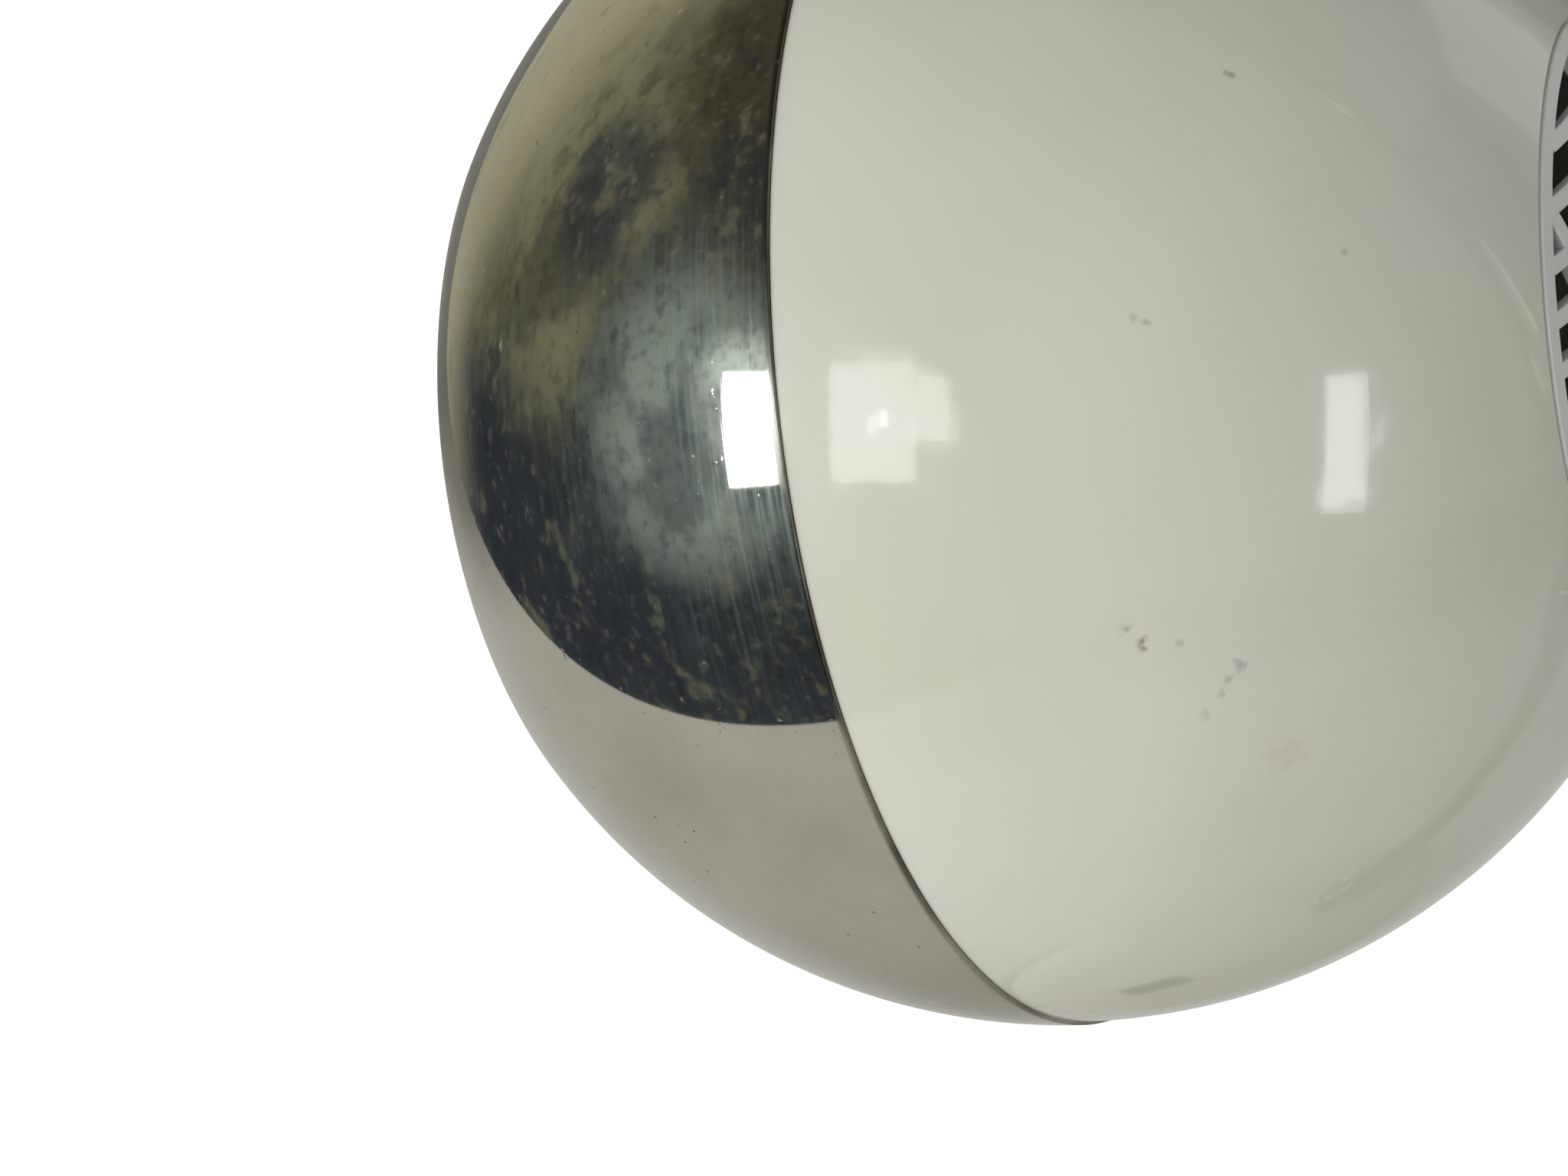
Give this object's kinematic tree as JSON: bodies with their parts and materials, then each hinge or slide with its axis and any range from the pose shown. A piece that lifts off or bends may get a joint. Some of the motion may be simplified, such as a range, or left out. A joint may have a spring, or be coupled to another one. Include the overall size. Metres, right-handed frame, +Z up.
{
  "type": "telescopic table lamp",
  "caption": "Table lamp with a chrome and white ball head that pans and tilts, hung from a crook on a telescopic chrome stem over a round weighted base.",
  "frame": {"origin": "middle of the underside of the round base, on the surface it stands on", "axes": "+Z up along the stem; -Y is the side the lamp shines to; +X to the right of someone standing behind the lamp"},
  "size_m": [0.191, 0.2572, 0.445],
  "materials": {
    "shell_chrome": "mirror polish with fine spin marks and a dull film",
    "chrome": "polished",
    "enamel": "gloss off-white enamel, slightly yellowed",
    "vent_plastic": "satin white moulded plastic",
    "steel": "zinc plated",
    "iron": "as cast, painted black",
    "felt": "dark green felt",
    "black_plastic": "fine satin",
    "nylon": "natural nylon",
    "rubber": "matt",
    "brass": "plain",
    "bakelite": "dark brown phenolic moulding",
    "aluminium": "spun, satin",
    "cap_metal": "plain",
    "opal_glass": "opal white"
  },
  "bodies": {
    "base": {"base_felt": "felt", "base_plate": "steel", "plate_screws": "steel", "base_weight": "iron", "base_cover": "enamel", "base_trim": "chrome", "stem_socket": "chrome", "socket_nut": "steel", "switch_housing": "black_plastic", "switch_tabs": "brass", "terminal_block": "nylon", "terminal_screws": "brass", "cord_grommet": "rubber"},
    "rocker": {"switch_rocker": "black_plastic"},
    "stem": {"swivel_hub": "chrome", "hub_ring": "steel", "outer_tube": "chrome", "outer_bush": "nylon"},
    "lower_lock": {"lower_collar": "chrome"},
    "middle": {"mid_tube": "chrome", "mid_guide": "nylon", "mid_bush": "nylon"},
    "upper_lock": {"upper_collar": "chrome"},
    "crook": {"crook_tube": "chrome", "inner_guide": "nylon", "crook_ferrule": "chrome"},
    "fork": {"knuckle_fork": "chrome", "pan_nut": "steel", "pan_washer": "nylon", "tilt_screw": "chrome", "tilt_washer": "nylon"},
    "thumb_nut": {"tilt_knob": "chrome"},
    "head": {"knuckle_stud": "chrome", "boss_cup": "chrome", "stud_nut": "steel", "front_shell": "shell_chrome", "rear_shell": "enamel", "vent_grille": "vent_plastic", "holder_bracket": "steel", "holder_nipple": "brass", "holder_nut": "brass", "lamp_holder": "bakelite", "holder_sleeve": "brass", "holder_contact": "brass", "shade_ring": "bakelite", "reflector": "aluminium", "bulb_cap": "cap_metal", "bulb_glass": "opal_glass"}
  },
  "joints": [
    {"name": "switch_rock", "type": "hinge", "parent": "base", "child": "rocker", "pos_m": [0, -0.05, 0.0288], "axis": [1, 0, 0], "range_deg": [0, 16]},
    {"name": "base_swivel", "type": "hinge", "parent": "base", "child": "stem", "pos_m": [0, 0.045, 0.05], "axis": [0, 0, 1], "range_deg": [-170, 170]},
    {"name": "lower_lock_turn", "type": "hinge", "parent": "stem", "child": "lower_lock", "pos_m": [0, 0.045, 0.2], "axis": [0, 0, 1], "range_deg": [0, 120]},
    {"name": "middle_slide", "type": "slide", "parent": "stem", "child": "middle", "axis": [0, 0, 1], "range_m": [-0.052, 0.056]},
    {"name": "upper_lock_turn", "type": "hinge", "parent": "middle", "child": "upper_lock", "pos_m": [0, 0.045, 0.27], "axis": [0, 0, 1], "range_deg": [0, 120]},
    {"name": "crook_slide", "type": "slide", "parent": "middle", "child": "crook", "axis": [0, 0, 1], "range_m": [-0.06, 0.042]},
    {"name": "head_pan", "type": "hinge", "parent": "crook", "child": "fork", "pos_m": [0, -0.095, 0.344], "axis": [0, 0, 1], "range_deg": [-170, 170]},
    {"name": "head_tilt", "type": "hinge", "parent": "fork", "child": "head", "pos_m": [0, -0.095, 0.324], "axis": [1, 0, 0], "range_deg": [-32, 32]},
    {"name": "thumb_nut_turn", "type": "hinge", "parent": "fork", "child": "thumb_nut", "pos_m": [0.012, -0.095, 0.324], "axis": [1, 0, 0], "range_deg": [-180, 0]}
  ]
}
